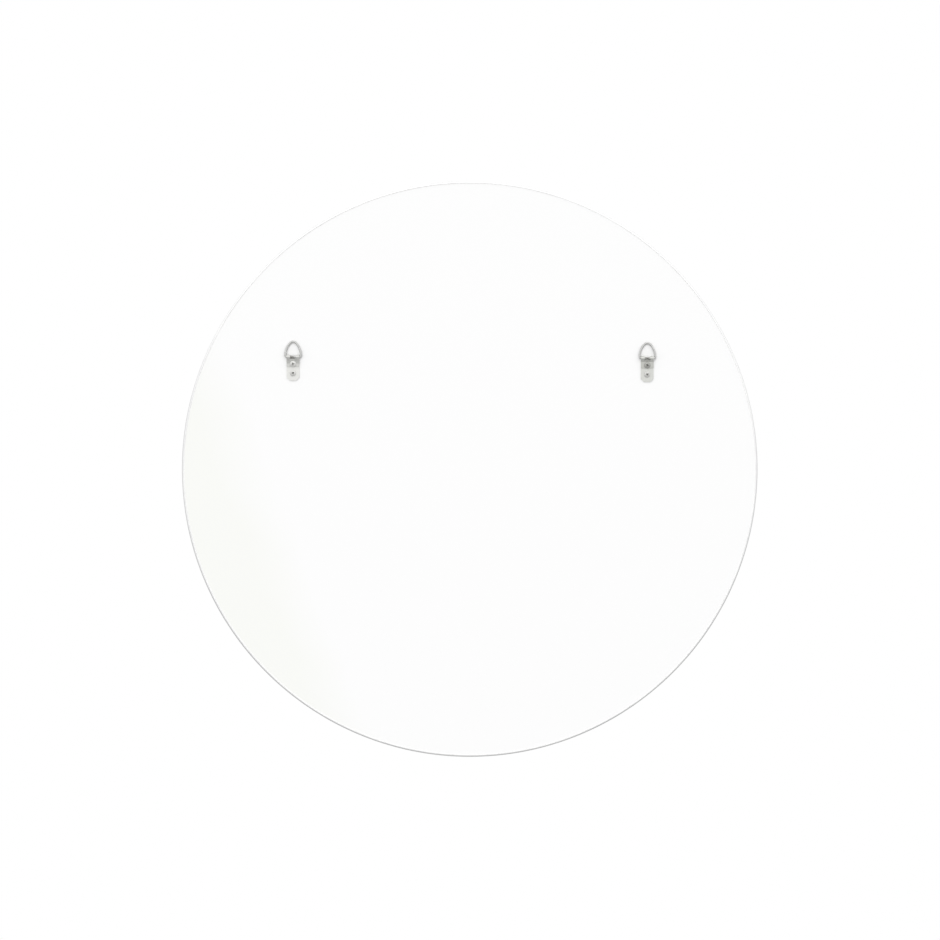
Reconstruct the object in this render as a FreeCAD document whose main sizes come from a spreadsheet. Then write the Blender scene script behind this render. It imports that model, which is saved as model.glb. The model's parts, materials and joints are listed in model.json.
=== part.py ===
# Round wall mirror: silvered glass and a white board in a thin metal rim, hung by two D-ring hangers.
# All sizes are in millimetres. +Z is up, the glass faces -Y and the back faces +Y.
# The origin is the centre of the rim's back edge, so the wall is the plane y = 0.
# Left and right are as seen from behind, facing the hangers, so left is towards +X.
import FreeCAD, Part
import math
import os
import Sketcher

SIZES = (
    ("rim_diameter", 610.0, "outside diameter of the rim"),
    ("rim_wall", 2.0, "thickness of the rim's band"),
    ("rim_back_round", 1.6, "rounding of the band's outer back edge"),
    ("rim_front_round", 0.6, "rounding of the band's outer front edge"),
    ("lip_width", 3.0, "how far the front lip reaches in from the band"),
    ("lip_thickness", 1.5, "thickness of the front lip"),
    ("lip_round", 0.4, "rounding of the lip's inner front edge"),
    ("glass_thickness", 5.0, "thickness of the mirror glass"),
    ("glass_play", 1.0, "radial gap between the glass and the band"),
    ("glass_arris", 0.5, "ground chamfer on the glass's edges"),
    ("bond_thickness", 1.0, "tape and adhesive between glass and board"),
    ("board_thickness", 12.0, "thickness of the backing board"),
    ("board_play", 0.5, "radial gap between the board and the band, filled with sealant"),
    ("board_recess", 0.5, "how far the board lies in from the rim's back edge"),
    ("board_arris", 0.3, "chamfer on the board's back edge"),
    ("tape_width", 25.0, "width of a mounting tape strip"),
    ("tape_pitch", 140.0, "distance between the middles of neighbouring strips"),
    ("tape_margin", 40.0, "from a strip's end to the glass's edge"),
    ("dot_diameter", 32.0, "diameter of a pressed dot of adhesive"),
    ("dot_rise", 115.0, "height of the upper dots above the middle"),
    ("hanger_spacing", 375.0, "distance between the two hangers' middles"),
    ("hanger_rise", 118.0, "height of the rings' bars above the middle"),
    ("strap_width", 13.5, "width of the hanger's strap"),
    ("strap_thickness", 1.0, "thickness of the strap's sheet"),
    ("strap_drop", 25.2, "from the bar down to the strap's bottom end"),
    ("strap_end_cut", 3.4, "width of the slanted cuts at the strap's bottom corners"),
    ("flap_drop", 10.6, "from the bar down to the front flap's end"),
    ("flap_end_round", 1.2, "corner radius of the flap's end"),
    ("flap_gap", 0.05, "gap left between the flap and the plate under it"),
    ("flap_seat_drop", 4.2, "from the bar down to where the flap lies on the plate"),
    ("crease_radius", 1.5, "bend radius where the flap turns flat, at the sheet's middle"),
    ("window_width", 6.0, "width of the window in the fold"),
    ("window_drop", 2.0, "from the bar down to the window's lower edge"),
    ("wire_diameter", 2.2, "diameter of the ring's wire"),
    ("bar_play", 0.1, "radial running gap between the bar and the fold"),
    ("ring_side_play", 0.05, "from the strap's edge to where the ring's corner bend starts"),
    ("ring_corner_radius", 1.5, "bend radius of the ring's lower corners"),
    ("ring_top_radius", 4.4, "bend radius of the ring's top"),
    ("ring_rise", 16.0, "from the bar to the middle of the wire at the ring's top"),
    ("ring_gap", 0.3, "gap between the wire's two ends"),
    ("ring_rest_gap", 0.15, "from the resting ring's top to the board"),
    ("screw_diameter", 3.5, "diameter of the screw's shank"),
    ("screw_length", 10.0, "from under the screw's head to its point"),
    ("screw_point", 3.0, "length of the screw's point"),
    ("screw_hole_play", 0.25, "radial gap between the shank and the strap's hole"),
    ("pilot_play", 0.02, "radial gap between the shank and the board's hole"),
    ("head_diameter", 6.6, "diameter of the screw's pan head"),
    ("head_edge", 0.9, "height of the straight side of the head"),
    ("head_height", 1.9, "height of the head"),
    ("recess_span", 3.5, "span of the head's cross recess"),
    ("recess_slot", 0.9, "width of the cross recess's slots"),
    ("recess_depth", 1.2, "depth of the cross recess"),
    ("upper_screw_drop", 7.6, "from the bar down to the upper screw"),
    ("lower_screw_drop", 17.2, "from the bar down to the lower screw"),
)

# Depths are measured from the rim's back edge towards the front.
BOARD_FRONT_DEPTH = "(sizes.board_recess + sizes.board_thickness)"
GLASS_BACK_DEPTH = f"({BOARD_FRONT_DEPTH} + sizes.bond_thickness)"
GLASS_FRONT_DEPTH = f"({GLASS_BACK_DEPTH} + sizes.glass_thickness)"
RIM_DEPTH = f"({GLASS_FRONT_DEPTH} + sizes.lip_thickness)"

RIM_OUTER = "(sizes.rim_diameter / 2)"
RIM_INNER = f"({RIM_OUTER} - sizes.rim_wall)"
LIP_INNER = f"({RIM_INNER} - sizes.lip_width)"
GLASS_RADIUS = f"({RIM_INNER} - sizes.glass_play)"
BOARD_RADIUS = f"({RIM_INNER} - sizes.board_play)"

WIRE_RADIUS = "(sizes.wire_diameter / 2)"
PLATE_MIDDLE = "(sizes.strap_thickness / 2)"
FLAP_MIDDLE = "(sizes.strap_thickness * 1.5 + sizes.flap_gap)"
PLATE_FACE = "sizes.strap_thickness"
FLAP_FACE = "(2 * sizes.strap_thickness + sizes.flap_gap)"
BAR_HEIGHT = f"(sizes.strap_thickness + sizes.bar_play + {WIRE_RADIUS})"
RING_CORNER_X = "(sizes.strap_width / 2 + sizes.ring_side_play)"
RING_TOP_CENTRE = "(sizes.ring_rise - sizes.ring_top_radius)"
RING_LEAN = f"asin(({BAR_HEIGHT} - {WIRE_RADIUS} - sizes.ring_rest_gap) / sizes.ring_rise)"

SIDES = {"left": 1, "right": -1}
TAPE_PLACES = {"far_left": 1.5, "left": 0.5, "right": -0.5, "far_right": -1.5}
DOT_COLUMNS = (-1, 0, 1)
DOT_ROWS = (-1, 1)
SCREW_TURNS = {"left": {"upper": 12, "lower": 38}, "right": {"upper": 65, "lower": 24}}

START, END, CENTRE = 1, 2, 3
ORIGIN = -1

# Two measures closer than this are the same one.
TOLERANCE = 1e-4

# Where the sketch's solver starts looking for the slope of the flap's ramp.
FIRST_SLOPE = math.radians(40)


def add_sheet(doc):
    """Spreadsheet with every driving size, its alias and what it means."""
    sheet = doc.addObject("Spreadsheet::Sheet", "sizes")
    for row, (alias, value, meaning) in enumerate(SIZES, start=1):
        sheet.set(f"A{row}", meaning)
        sheet.set(f"B{row}", str(value))
        sheet.setAlias(f"B{row}", alias)
    doc.recompute()
    return sheet


def number(item, expression):
    """Present value of an expression, in millimetres."""
    return float(item.evalExpression(expression))


def add_body(doc, label):
    body = doc.addObject("PartDesign::Body", label)
    body.Label = label
    return body


def add_sketch(body, name, role, offset="0"):
    """Sketch on one of the body's own origin planes, moved along the plane's normal."""
    sketch = body.newObject("Sketcher::SketchObject", name)
    plane = next(item for item in body.Origin.OriginFeatures if item.Role == role)
    sketch.AttachmentSupport = [(plane, "")]
    sketch.MapMode = "FlatFace"
    sketch.setExpression("AttachmentOffset.Base.z", offset)
    return sketch


def bind(sketch, kind, expression, *where):
    """Dimension whose value follows an expression."""
    constraint = Sketcher.Constraint(kind, *where, number(sketch, expression))
    index = sketch.addConstraint(constraint)
    sketch.setExpression(f"Constraints[{index}]", expression)


def locate(sketch, line, end, x, y):
    """Holds one point of the sketch at an x and a y from the sketch's origin."""
    bind(sketch, "DistanceX", x, ORIGIN, START, line, end)
    bind(sketch, "DistanceY", y, ORIGIN, START, line, end)


def join(sketch, *where):
    sketch.addConstraint(Sketcher.Constraint("Coincident", *where))


def smooth(sketch, *where):
    sketch.addConstraint(Sketcher.Constraint("Tangent", *where))


def draw_lines(sketch, corners):
    """Chain of straight lines through corners given as pairs of expressions."""
    points = [FreeCAD.Vector(number(sketch, x), number(sketch, y), 0) for x, y in corners]
    lines = [sketch.addGeometry(Part.LineSegment(a, b)) for a, b in zip(points, points[1:])]
    for line, corner in zip(lines, corners):
        locate(sketch, line, START, *corner)
    for line, following in zip(lines, lines[1:]):
        join(sketch, line, END, following, START)
    return lines


def draw_polygon(sketch, corners):
    lines = draw_lines(sketch, corners + corners[:1])
    join(sketch, lines[-1], END, lines[0], START)


def draw_circle(sketch, x, y, radius):
    middle = FreeCAD.Vector(number(sketch, x), number(sketch, y), 0)
    upright = FreeCAD.Vector(0, 0, 1)
    circle = sketch.addGeometry(Part.Circle(middle, upright, number(sketch, radius)))
    locate(sketch, circle, CENTRE, x, y)
    bind(sketch, "Radius", radius, circle)


def draw_arc(sketch, x, y, radius, first, last):
    """Arc about (x, y), counter-clockwise from the first angle to the last, in radians."""
    circle = Part.Circle(FreeCAD.Vector(x, y, 0), FreeCAD.Vector(0, 0, 1), radius)
    return sketch.addGeometry(Part.ArcOfCircle(circle, first, last))


def add_pad(body, sketch, length):
    pad = body.newObject("PartDesign::Pad", f"{body.Label}_pad")
    pad.Profile = sketch
    pad.setExpression("Length", length)
    body.Document.recompute()
    return pad


def add_revolution(body, sketch):
    """Full turn about the sketch's own horizontal axis."""
    turn = body.newObject("PartDesign::Revolution", f"{body.Label}_turn")
    turn.Profile = sketch
    turn.ReferenceAxis = (sketch, ["H_Axis"])
    turn.Angle = 360
    body.Document.recompute()
    return turn


def add_pipe(body, profile, spine):
    pipe = body.newObject("PartDesign::AdditivePipe", f"{body.Label}_pipe")
    pipe.Profile = profile
    pipe.Spine = (spine, [f"Edge{index + 1}" for index in range(spine.GeometryCount)])
    body.Document.recompute()
    return pipe


def add_cut(body, sketch, depth=None):
    """Pocket from the sketch towards the front, or right through both ways without a depth."""
    before = body.Shape.Volume
    pocket = body.newObject("PartDesign::Pocket", f"{sketch.Label}_cut")
    pocket.Profile = sketch
    if depth is None:
        pocket.Type = "ThroughAll"
        pocket.Midplane = True
    else:
        pocket.Reversed = True
        pocket.setExpression("Length", depth)
    body.Document.recompute()
    if not body.Shape.Volume < before:
        raise RuntimeError(f"{pocket.Label} cuts nothing")
    return pocket


def dress_edges(body, kind, size, wanted):
    """Fillet or Chamfer of a named size on the edges of the body's last feature that the test picks."""
    base = body.Tip
    names = [f"Edge{i}" for i, edge in enumerate(base.Shape.Edges, start=1) if wanted(edge)]
    dress = body.newObject(f"PartDesign::{kind}", f"{body.Label}_{size}")
    dress.Base = (base, names)
    dress.setExpression("Radius" if kind == "Fillet" else "Size", f"sizes.{size}")
    body.Document.recompute()
    return dress


def is_circle(edge, radius, y):
    """True for a circle of the given radius about the Y axis, at the given y."""
    if edge.Curve.TypeId != "Part::GeomCircle":
        return False
    middle = edge.Curve.Center
    same_size = math.isclose(edge.Curve.Radius, radius, abs_tol=TOLERANCE)
    return same_size and math.isclose(middle.y, y, abs_tol=TOLERANCE) and abs(middle.x) < TOLERANCE


def runs_along_y(edge, z, least_x):
    """True for a straight edge along Y at height z that lies at least least_x to either side."""
    box = edge.BoundBox
    flat = box.XLength < TOLERANCE and box.ZLength < TOLERANCE
    return flat and math.isclose(box.ZMin, z, abs_tol=TOLERANCE) and abs(box.XMin) > least_x


def place(item, x, y, z):
    """Binds the place of an item in the mirror's frame."""
    item.setExpression("Placement.Base.x", x)
    item.setExpression("Placement.Base.y", y)
    item.setExpression("Placement.Base.z", z)


def hanger_x(side):
    return f"({SIDES[side]} * sizes.hanger_spacing / 2)"


def make_rim(doc):
    """Rolled band with a lip turned in at the front, open at the back."""
    body = add_body(doc, "frame_rim")
    sketch = add_sketch(body, "rim_section", "YZ_Plane")
    draw_polygon(sketch, [
        ("0", RIM_OUTER),
        (f"-{RIM_DEPTH}", RIM_OUTER),
        (f"-{RIM_DEPTH}", LIP_INNER),
        (f"-{GLASS_FRONT_DEPTH}", LIP_INNER),
        (f"-{GLASS_FRONT_DEPTH}", RIM_INNER),
        ("0", RIM_INNER),
    ])
    add_revolution(body, sketch)
    outer = number(body, RIM_OUTER)
    front = -number(body, RIM_DEPTH)
    lip = number(body, LIP_INNER)
    rounds = (("rim_back_round", outer, 0), ("rim_front_round", outer, front), ("lip_round", lip, front))
    for size, radius, y in rounds:
        dress_edges(body, "Fillet", size, lambda edge: is_circle(edge, radius, y))
    return body


def make_glass(doc):
    """Flat silvered disc that rests on the rim's lip."""
    body = add_body(doc, "mirror_glass")
    sketch = add_sketch(body, "glass_outline", "XZ_Plane", GLASS_BACK_DEPTH)
    draw_circle(sketch, "0", "0", GLASS_RADIUS)
    add_pad(body, sketch, "sizes.glass_thickness")
    dress_edges(body, "Chamfer", "glass_arris", lambda edge: edge.Curve.TypeId == "Part::GeomCircle")
    return body


def make_board(doc):
    """Backing board with a blind hole for each hanger screw."""
    body = add_body(doc, "backing_board")
    sketch = add_sketch(body, "board_outline", "XZ_Plane", "sizes.board_recess")
    draw_circle(sketch, "0", "0", BOARD_RADIUS)
    add_pad(body, sketch, "sizes.board_thickness")
    back = -number(body, "sizes.board_recess")
    radius = number(body, BOARD_RADIUS)
    dress_edges(body, "Chamfer", "board_arris", lambda edge: is_circle(edge, radius, back))
    holes = add_sketch(body, "pilot_holes", "XZ_Plane", "sizes.board_recess")
    for side in SIDES:
        for drop in ("sizes.upper_screw_drop", "sizes.lower_screw_drop"):
            height = f"(sizes.hanger_rise - {drop})"
            draw_circle(holes, hanger_x(side), height, "(sizes.screw_diameter / 2 + sizes.pilot_play)")
    add_cut(body, holes, "sizes.screw_length")
    return body


def make_sealant(doc):
    """White bead that fills the gap between the board's edge and the band."""
    body = add_body(doc, "edge_sealant")
    sketch = add_sketch(body, "bead_outline", "XZ_Plane", "sizes.board_recess")
    draw_circle(sketch, "0", "0", RIM_INNER)
    draw_circle(sketch, "0", "0", BOARD_RADIUS)
    add_pad(body, sketch, "sizes.board_thickness")
    return body


def make_tape(doc, name, pitches):
    """Upright strip of foam tape, as long as the glass allows at its place."""
    body = add_body(doc, f"tape_strip_{name}")
    middle = f"({pitches} * sizes.tape_pitch)"
    outermost = f"({abs(pitches)} * sizes.tape_pitch + sizes.tape_width / 2)"
    half_length = f"(sqrt({GLASS_RADIUS}^2 - {outermost}^2) - sizes.tape_margin)"
    left = f"({middle} + sizes.tape_width / 2)"
    right = f"({middle} - sizes.tape_width / 2)"
    sketch = add_sketch(body, f"tape_outline_{name}", "XZ_Plane", BOARD_FRONT_DEPTH)
    draw_polygon(sketch, [
        (left, f"-{half_length}"),
        (left, half_length),
        (right, half_length),
        (right, f"-{half_length}"),
    ])
    add_pad(body, sketch, "sizes.bond_thickness")
    return body


def make_dots(doc):
    """Pressed dots of mirror adhesive between the tape strips."""
    dots = []
    for column in DOT_COLUMNS:
        for row in DOT_ROWS:
            dot = doc.addObject("Part::Cylinder", "adhesive_dot")
            dot.setExpression("Radius", "sizes.dot_diameter / 2")
            dot.setExpression("Height", "sizes.bond_thickness")
            dot.Placement.Rotation = FreeCAD.Rotation(FreeCAD.Vector(1, 0, 0), 90)
            place(dot, f"{column} * sizes.tape_pitch", f"-{BOARD_FRONT_DEPTH}", f"{row} * sizes.dot_rise")
            dots.append(dot)
    group = doc.addObject("Part::Compound", "adhesive_dots")
    group.Links = dots
    return group


def draw_strap_path(sketch):
    """Middle line of the bent sheet: up the plate, over the bar, down the slope, flat on the plate."""
    plate = number(sketch, PLATE_MIDDLE)
    flap = number(sketch, FLAP_MIDDLE)
    height = number(sketch, BAR_HEIGHT)
    crease = number(sketch, "sizes.crease_radius")
    seat = -number(sketch, "sizes.flap_seat_drop")
    fold = draw_arc(sketch, height, 0, height - plate, -FIRST_SLOPE, math.pi)
    bend = draw_arc(sketch, flap + crease, seat, crease, math.pi - FIRST_SLOPE, math.pi)
    leaves_fold = sketch.getPoint(fold, START)
    meets_bend = sketch.getPoint(bend, START)
    plate_foot = FreeCAD.Vector(plate, -number(sketch, "sizes.strap_drop"), 0)
    flap_foot = FreeCAD.Vector(flap, -number(sketch, "sizes.flap_drop"), 0)
    rise = sketch.addGeometry(Part.LineSegment(plate_foot, FreeCAD.Vector(plate, 0, 0)))
    ramp = sketch.addGeometry(Part.LineSegment(leaves_fold, meets_bend))
    tail = sketch.addGeometry(Part.LineSegment(FreeCAD.Vector(flap, seat, 0), flap_foot))
    smooth(sketch, rise, END, fold, END)
    smooth(sketch, fold, START, ramp, START)
    smooth(sketch, ramp, END, bend, START)
    smooth(sketch, bend, END, tail, START)
    sketch.addConstraint(Sketcher.Constraint("Vertical", rise))
    sketch.addConstraint(Sketcher.Constraint("Vertical", tail))
    locate(sketch, fold, CENTRE, BAR_HEIGHT, "0")
    locate(sketch, rise, START, PLATE_MIDDLE, "-sizes.strap_drop")
    locate(sketch, tail, END, FLAP_MIDDLE, "-sizes.flap_drop")
    bind(sketch, "Radius", "sizes.crease_radius", bend)
    bind(sketch, "DistanceY", "-sizes.flap_seat_drop", ORIGIN, START, tail, START)


def make_strap(doc, side):
    """Strap folded over the ring's bar, with a window in the fold and two screw holes."""
    body = add_body(doc, f"hanger_strap_{side}")
    path = add_sketch(body, f"strap_path_{side}", "YZ_Plane")
    draw_strap_path(path)
    section = add_sketch(body, f"strap_section_{side}", "XY_Plane", "-sizes.strap_drop")
    draw_polygon(section, [
        ("-sizes.strap_width / 2", "0"),
        ("sizes.strap_width / 2", "0"),
        ("sizes.strap_width / 2", "sizes.strap_thickness"),
        ("-sizes.strap_width / 2", "sizes.strap_thickness"),
    ])
    add_pipe(body, section, path)
    window = add_sketch(body, f"strap_window_{side}", "XZ_Plane")
    draw_polygon(window, [
        ("-sizes.window_width / 2", "-sizes.window_drop"),
        ("sizes.window_width / 2", "-sizes.window_drop"),
        ("sizes.window_width / 2", f"2 * {BAR_HEIGHT}"),
        ("-sizes.window_width / 2", f"2 * {BAR_HEIGHT}"),
    ])
    add_cut(body, window)
    holes = add_sketch(body, f"strap_holes_{side}", "XZ_Plane")
    for drop in ("sizes.upper_screw_drop", "sizes.lower_screw_drop"):
        draw_circle(holes, "0", f"-{drop}", "(sizes.screw_diameter / 2 + sizes.screw_hole_play)")
    add_cut(body, holes)
    foot = -number(body, "sizes.strap_drop")
    flap_end = -number(body, "sizes.flap_drop")
    beside = number(body, "sizes.window_width / 2")
    dress_edges(body, "Chamfer", "strap_end_cut", lambda edge: runs_along_y(edge, foot, beside))
    dress_edges(body, "Fillet", "flap_end_round", lambda edge: runs_along_y(edge, flap_end, beside))
    place(body, hanger_x(side), "-sizes.board_recess", "sizes.hanger_rise")
    return body


def draw_ring_path(sketch):
    """Middle line of the wire: half the bar, a corner, a side, the top, and back down to the bar."""
    corner = number(sketch, "sizes.ring_corner_radius")
    top = number(sketch, "sizes.ring_top_radius")
    bend_x = number(sketch, RING_CORNER_X)
    half_width = bend_x + corner
    top_y = number(sketch, RING_TOP_CENTRE)
    rise = top_y - corner
    side = (half_width**2 + rise**2 - top**2) / (2 * (half_width - top))
    lean = math.atan2(rise, side - half_width)
    gap = number(sketch, "sizes.ring_gap / 2")
    turn = math.pi
    top_arc = draw_arc(sketch, 0, top_y, top, lean, turn - lean)
    right_side = draw_arc(sketch, half_width - side, corner, side, 0, lean)
    left_side = draw_arc(sketch, side - half_width, corner, side, turn - lean, turn)
    right_corner = draw_arc(sketch, bend_x, corner, corner, -turn / 2, 0)
    left_corner = draw_arc(sketch, -bend_x, corner, corner, turn, turn * 1.5)
    ends = [FreeCAD.Vector(x, 0, 0) for x in (gap, bend_x, -bend_x, -gap)]
    right_bar = sketch.addGeometry(Part.LineSegment(*ends[:2]))
    left_bar = sketch.addGeometry(Part.LineSegment(*ends[2:]))
    smooth(sketch, right_bar, END, right_corner, START)
    smooth(sketch, right_corner, END, right_side, START)
    smooth(sketch, right_side, END, top_arc, START)
    smooth(sketch, top_arc, END, left_side, START)
    smooth(sketch, left_side, END, left_corner, START)
    smooth(sketch, left_corner, END, left_bar, START)
    locate(sketch, right_bar, START, "sizes.ring_gap / 2", "0")
    locate(sketch, right_bar, END, RING_CORNER_X, "0")
    locate(sketch, left_bar, START, f"-{RING_CORNER_X}", "0")
    locate(sketch, left_bar, END, "-sizes.ring_gap / 2", "0")
    locate(sketch, top_arc, CENTRE, "0", RING_TOP_CENTRE)
    bind(sketch, "Radius", "sizes.ring_top_radius", top_arc)
    for arc, far_end in ((right_corner, END), (left_corner, START)):
        bind(sketch, "Radius", "sizes.ring_corner_radius", arc)
        bind(sketch, "DistanceY", "sizes.ring_corner_radius", ORIGIN, START, arc, far_end)


def make_ring(doc, side):
    """D-ring of bent wire, leaning on the board, with its bar in the strap's fold."""
    body = add_body(doc, f"hanger_ring_{side}")
    path = add_sketch(body, f"ring_path_{side}", "XZ_Plane")
    draw_ring_path(path)
    wire = add_sketch(body, f"ring_wire_{side}", "YZ_Plane", "sizes.ring_gap / 2")
    draw_circle(wire, "0", "0", WIRE_RADIUS)
    add_pipe(body, wire, path)
    body.Placement.Rotation = FreeCAD.Rotation(FreeCAD.Vector(1, 0, 0), 1)
    body.setExpression("Placement.Rotation.Angle", RING_LEAN)
    place(body, hanger_x(side), f"{BAR_HEIGHT} - sizes.board_recess", "sizes.hanger_rise")
    return body


def draw_cross(sketch):
    """Cross of two slots, drawn as one outline of four equal arms."""
    span = "sizes.recess_span / 2"
    slot = "sizes.recess_slot / 2"
    arm = [(span, f"-({slot})"), (span, slot), (slot, slot)]
    corners = []
    for _ in range(4):
        corners += arm
        arm = [(f"-({y})", x) for x, y in arm]
    draw_polygon(sketch, corners)


def make_screw(doc, name, side, drop, seat, turn):
    """Pan-head wood screw along Y, its head seated at a height above the board."""
    body = add_body(doc, f"screw_{name}")
    section = add_sketch(body, f"screw_section_{name}", "YZ_Plane")
    head_edge = number(section, "sizes.head_edge")
    head_radius = number(section, "sizes.head_diameter / 2")
    dome_rise = number(section, "sizes.head_height") - head_edge
    dome_radius = (head_radius**2 + dome_rise**2) / (2 * dome_rise)
    dome_y = head_edge + dome_rise - dome_radius
    dome = draw_arc(section, dome_y, 0, dome_radius, 0, math.atan2(head_radius, head_edge - dome_y))
    lines = draw_lines(section, [
        ("sizes.head_edge", "sizes.head_diameter / 2"),
        ("0", "sizes.head_diameter / 2"),
        ("0", "sizes.screw_diameter / 2"),
        ("sizes.screw_point - sizes.screw_length", "sizes.screw_diameter / 2"),
        ("-sizes.screw_length", "0"),
        ("sizes.head_height", "0"),
    ])
    join(section, dome, END, lines[0], START)
    join(section, dome, START, lines[-1], END)
    locate(section, lines[-1], END, "sizes.head_height", "0")
    bind(section, "DistanceY", "0", ORIGIN, START, dome, CENTRE)
    add_revolution(body, section)
    cross = add_sketch(body, f"screw_cross_{name}", "XZ_Plane", "-sizes.head_height")
    draw_cross(cross)
    add_cut(body, cross, "sizes.recess_depth")
    body.Placement.Rotation = FreeCAD.Rotation(FreeCAD.Vector(0, 1, 0), turn)
    place(body, hanger_x(side), f"{seat} - sizes.board_recess", f"sizes.hanger_rise - {drop}")
    return body


def make_screws(doc, side):
    """The hanger's two screws: the upper one holds flap and plate, the lower one the plate."""
    turns = SCREW_TURNS[side]
    upper = make_screw(doc, f"{side}_upper", side, "sizes.upper_screw_drop", FLAP_FACE, turns["upper"])
    lower = make_screw(doc, f"{side}_lower", side, "sizes.lower_screw_drop", PLATE_FACE, turns["lower"])
    group = doc.addObject("Part::Compound", f"hanger_screws_{side}")
    group.Links = [upper, lower]
    return group


def check_document(doc, nodes):
    """Stops before anything is written if an object failed or a shape is empty or invalid."""
    for item in doc.Objects:
        if "Invalid" in item.State or "Error" in item.State:
            raise RuntimeError(f"{item.Label} failed: {item.State}")
    for node in nodes:
        if node.Shape.isNull() or not node.Shape.isValid():
            raise RuntimeError(f"{node.Label} has no valid shape")


def main():
    doc = FreeCAD.newDocument("round_wall_mirror")
    add_sheet(doc)
    nodes = [make_rim(doc), make_glass(doc), make_board(doc), make_sealant(doc), make_dots(doc)]
    nodes += [make_tape(doc, name, pitches) for name, pitches in TAPE_PLACES.items()]
    for side in SIDES:
        nodes += [make_strap(doc, side), make_ring(doc, side), make_screws(doc, side)]
    doc.recompute()
    check_document(doc, nodes)
    os.makedirs("parts", exist_ok=True)
    for node in nodes:
        node.Shape.exportStep(f"parts/{node.Label}.step")
        print(f"{node.Label}: {len(node.Shape.Solids)} solids, {node.Shape.Volume:.1f} mm3")


main()
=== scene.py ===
"""Round wall mirror seen from behind: white board in a thin metal rim, with two D-ring strap hangers.

Metres, in the CAD model's frame: +Z up, the glass faces -Y, the back and its hangers face +Y.
"""
import bmesh
import bpy
import json
import math
import random
from mathutils import Matrix, Vector, noise


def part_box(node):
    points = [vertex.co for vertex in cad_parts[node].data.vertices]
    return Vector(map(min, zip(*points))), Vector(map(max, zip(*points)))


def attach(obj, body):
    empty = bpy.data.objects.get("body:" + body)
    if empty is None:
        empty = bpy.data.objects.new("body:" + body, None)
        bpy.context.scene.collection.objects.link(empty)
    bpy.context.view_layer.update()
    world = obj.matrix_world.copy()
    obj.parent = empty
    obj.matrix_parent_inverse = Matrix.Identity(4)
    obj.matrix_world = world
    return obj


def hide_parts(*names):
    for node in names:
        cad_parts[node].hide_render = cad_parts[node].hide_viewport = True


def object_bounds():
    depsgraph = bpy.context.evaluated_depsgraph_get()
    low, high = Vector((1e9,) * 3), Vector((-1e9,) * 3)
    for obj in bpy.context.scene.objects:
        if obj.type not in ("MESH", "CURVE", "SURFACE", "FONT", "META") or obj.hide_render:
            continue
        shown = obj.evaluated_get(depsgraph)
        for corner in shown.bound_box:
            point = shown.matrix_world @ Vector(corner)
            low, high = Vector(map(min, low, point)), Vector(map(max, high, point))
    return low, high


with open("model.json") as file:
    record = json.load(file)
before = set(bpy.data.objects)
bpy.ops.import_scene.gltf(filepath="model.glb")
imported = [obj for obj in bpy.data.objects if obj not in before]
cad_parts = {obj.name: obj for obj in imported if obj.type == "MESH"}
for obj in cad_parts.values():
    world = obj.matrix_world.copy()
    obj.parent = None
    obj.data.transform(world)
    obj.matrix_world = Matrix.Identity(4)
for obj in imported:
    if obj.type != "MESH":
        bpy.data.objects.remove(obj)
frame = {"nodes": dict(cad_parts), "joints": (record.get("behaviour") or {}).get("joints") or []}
CAD_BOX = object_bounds()

MM = 0.001
ROUND_STEPS = 720
SIDES = ("left", "right")
HINGES = {joint["child"].split("_")[1]: Vector(joint["pos_m"]) for joint in frame["joints"]}
# Points nearer than this are one point
WELD = 1e-7
# How far the cutter of a pilot hole, and that of a recess, starts above the face it cuts
PILOT_CLEAR = 1 * MM
RECESS_CLEAR = 0.1 * MM

# Rim, glass and board
RIM_WALL = 2.0 * MM
LIP_WIDTH = 3.0 * MM
LIP_THICKNESS = 1.5 * MM
RIM_BACK_ROUND = 1.6 * MM
RIM_FRONT_ROUND = 0.6 * MM
LIP_ROUND = 0.4 * MM
EDGE_BREAK = 0.06 * MM
GLASS_ARRIS = 0.5 * MM
SILVER_THICKNESS = 0.08 * MM
SILVER_GAP = 0.02 * MM
BOARD_ARRIS = 0.3 * MM
# The sealant bead: how far it laps onto the board, its inner edge's foot and height, how much higher
# it is at the rim, and its ripple with the scale of that along and across the bead
SEALANT_LAP = 0.45 * MM
SEALANT_FOOT = 0.02 * MM
SEALANT_EDGE = 0.03 * MM
SEALANT_RISE = 0.10 * MM
SEALANT_RIPPLE = 0.03 * MM
RIPPLE_ALONG = 40
RIPPLE_ACROSS = 900
# Adhesive dots: radius, share of it that the edge keeps and waves by, and waviness
DOT_RADIUS = 16 * MM
DOT_KEEPS = 0.9
DOT_WAVE = 0.1
DOT_WAVINESS = 1.6
# (share of the thickness, share of the radius) up a dot's side
DOT_LEVELS = ((0.0, 0.93), (0.2, 1.0), (0.8, 1.0), (1.0, 0.93))

# Hanger strap and its fold over the ring's bar. Each drop is measured down from the bar
SHEET = 1.0 * MM
FLAP_GAP = 0.05 * MM
CREASE_RADIUS = 1.5 * MM
FLAP_SEAT_DROP = 4.2 * MM
FLAP_DROP = 10.6 * MM
STRAP_END_CUT = 3.4 * MM
FLAP_END_ROUND = 1.2 * MM
WINDOW_WIDTH = 6.0 * MM
WINDOW_DROP = 2.0 * MM
WINDOW_ROUND = 0.5 * MM
SCREW_HOLE = 4.0 * MM
UPPER_DROP = 7.6 * MM
LOWER_DROP = 17.2 * MM
SHEET_EDGE = 0.14 * MM
BEND_STEP = 0.22 * MM

# Each side's sheet: the darker and the lighter colour of its clouds, and what its parts with painted shade
# and the sheet's duller other face keep of them; the right's colours are darker than the left's
SHEET_TINTS = {
    "left": ((0.80, 0.80, 0.775), (0.85, 0.85, 0.825), (0.61, 0.615, 0.61)),
    "right": ((0.69, 0.695, 0.665), (0.75, 0.755, 0.725), (0.80, 0.80, 0.79)),
}
FLAP_FADE = 0.6 * MM
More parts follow.
